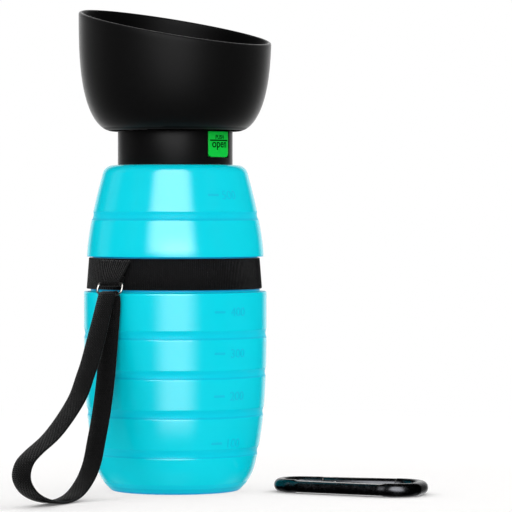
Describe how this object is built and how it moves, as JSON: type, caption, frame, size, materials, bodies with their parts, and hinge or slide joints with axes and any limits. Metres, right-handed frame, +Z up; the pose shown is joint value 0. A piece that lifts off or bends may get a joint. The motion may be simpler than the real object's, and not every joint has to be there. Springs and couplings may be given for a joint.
{
  "type": "dog travel water bottle",
  "caption": "Squeeze bottle for dogs: soft ribbed silicone body, screw cap with push-button slide valve, turn-down drinking bowl, wrist strap on an elastic band, and a carabiner.",
  "frame": {"origin": "middle of the bottle's flat base, on the surface it stands on", "axes": "+Z up along the bottle's axis; +X towards the green open button and the low side of the bowl's rim; the wrist strap hangs on the -Y side"},
  "size_m": [0.1556, 0.1759, 0.2224],
  "materials": {
    "cyan_silicone": "smooth satin silicone",
    "black_silicone": "soft matte silicone",
    "black_plastic": "fine matte moulding",
    "clear_grey_plastic": "smooth moulding",
    "white_plastic": "smooth moulding",
    "seal_rubber": "matte",
    "green_plastic": "smooth moulding",
    "red_plastic": "smooth moulding",
    "elastic_webbing": "woven elastic",
    "strap_webbing": "woven nylon tape",
    "ring_steel": "polished plate",
    "black_anodised": "glossy black anodised",
    "spring_steel": "drawn wire"
  },
  "bodies": {
    "bottle": {"silicone_bottle": "cyan_silicone", "mouth_ring": "white_plastic", "elastic_band": "elastic_webbing", "ring_tab": "strap_webbing"},
    "lift": {"cap_gasket": "seal_rubber", "dip_tube": "white_plastic"},
    "cap": {"cap_shell": "black_plastic", "valve_block": "clear_grey_plastic", "spout": "black_plastic", "spout_washer": "seal_rubber"},
    "valve": {"valve_slide": "clear_grey_plastic", "slide_seals": "seal_rubber", "open_button": "green_plastic", "close_button": "red_plastic"},
    "bowl": {"drinking_bowl": "black_silicone"},
    "ring": {"d_ring": "ring_steel"},
    "strap": {"wrist_strap": "strap_webbing"},
    "carabiner": {"carabiner_body": "black_anodised", "gate_pin": "spring_steel"},
    "gate": {"carabiner_gate": "black_anodised", "gate_plunger": "spring_steel", "gate_spring": "spring_steel"}
  },
  "joints": [
    {"name": "cap_lift", "type": "slide", "parent": "bottle", "child": "lift", "axis": [0, 0, 1], "range_m": [0, 0.145]},
    {"name": "cap_turn", "type": "hinge", "parent": "lift", "child": "cap", "pos_m": [0, 0, 0.15], "axis": [0, 0, 1], "range_deg": [0, 540]},
    {"name": "valve_slide_move", "type": "slide", "parent": "cap", "child": "valve", "axis": [-1, 0, 0], "range_m": [0, 0.0055]},
    {"name": "bowl_flip", "type": "hinge", "parent": "cap", "child": "bowl", "pos_m": [0, 0, 0.166], "axis": [1, 0, 0], "range_deg": [0, 180], "deforming": ["drinking_bowl"]},
    {"name": "ring_swing", "type": "hinge", "parent": "bottle", "child": "ring", "pos_m": [-0.00225, -0.04289, 0.09585], "axis": [-0.9986, 0.0523, 0], "range_deg": [0, 70]},
    {"name": "strap_swing", "type": "hinge", "parent": "ring", "child": "strap", "pos_m": [-0.00235, -0.0448, 0.09059], "axis": [-0.9986, 0.0523, 0], "range_deg": [0, 45]},
    {"name": "carabiner_lift", "type": "slide", "parent": "bottle", "child": "carabiner", "axis": [0, 0, 1], "range_m": [0, 0.04]},
    {"name": "gate_swing", "type": "hinge", "parent": "carabiner", "child": "gate", "pos_m": [0.05867, 0.04074, 0.0031], "axis": [0, 0, -1], "range_deg": [0, 28], "stiffness_Nm_per_rad": 0.03, "springref_deg": -20.05}
  ]
}
